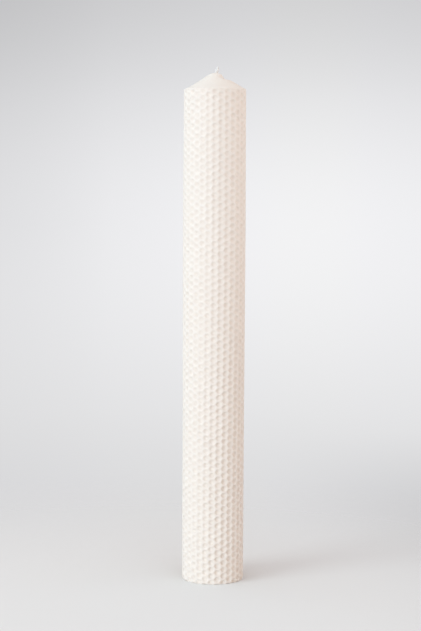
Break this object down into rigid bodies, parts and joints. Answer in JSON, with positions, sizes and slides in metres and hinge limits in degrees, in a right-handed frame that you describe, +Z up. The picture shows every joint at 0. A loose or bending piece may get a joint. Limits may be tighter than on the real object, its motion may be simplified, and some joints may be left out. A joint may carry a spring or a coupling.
{
  "type": "baptism candle",
  "caption": "Straight round candle rolled from honeycomb-embossed beeswax sheets round a cotton wick, with a low conical top and a flat base.",
  "frame": {"origin": "centre of the flat base, on the wick's axis", "axes": "+Z up along the wick, -Y to the front as pictured, +X to the right; the outer sheet's free edge is at the back, +Y"},
  "size_m": [0.0492, 0.0495, 0.4106],
  "materials": {
    "wax": "satin",
    "wick": "matte"
  },
  "bodies": {
    "root": {"wick": "wick", "inner_sheet": "wax", "middle_sheet": "wax", "outer_sheet": "wax"}
  },
  "joints": []
}
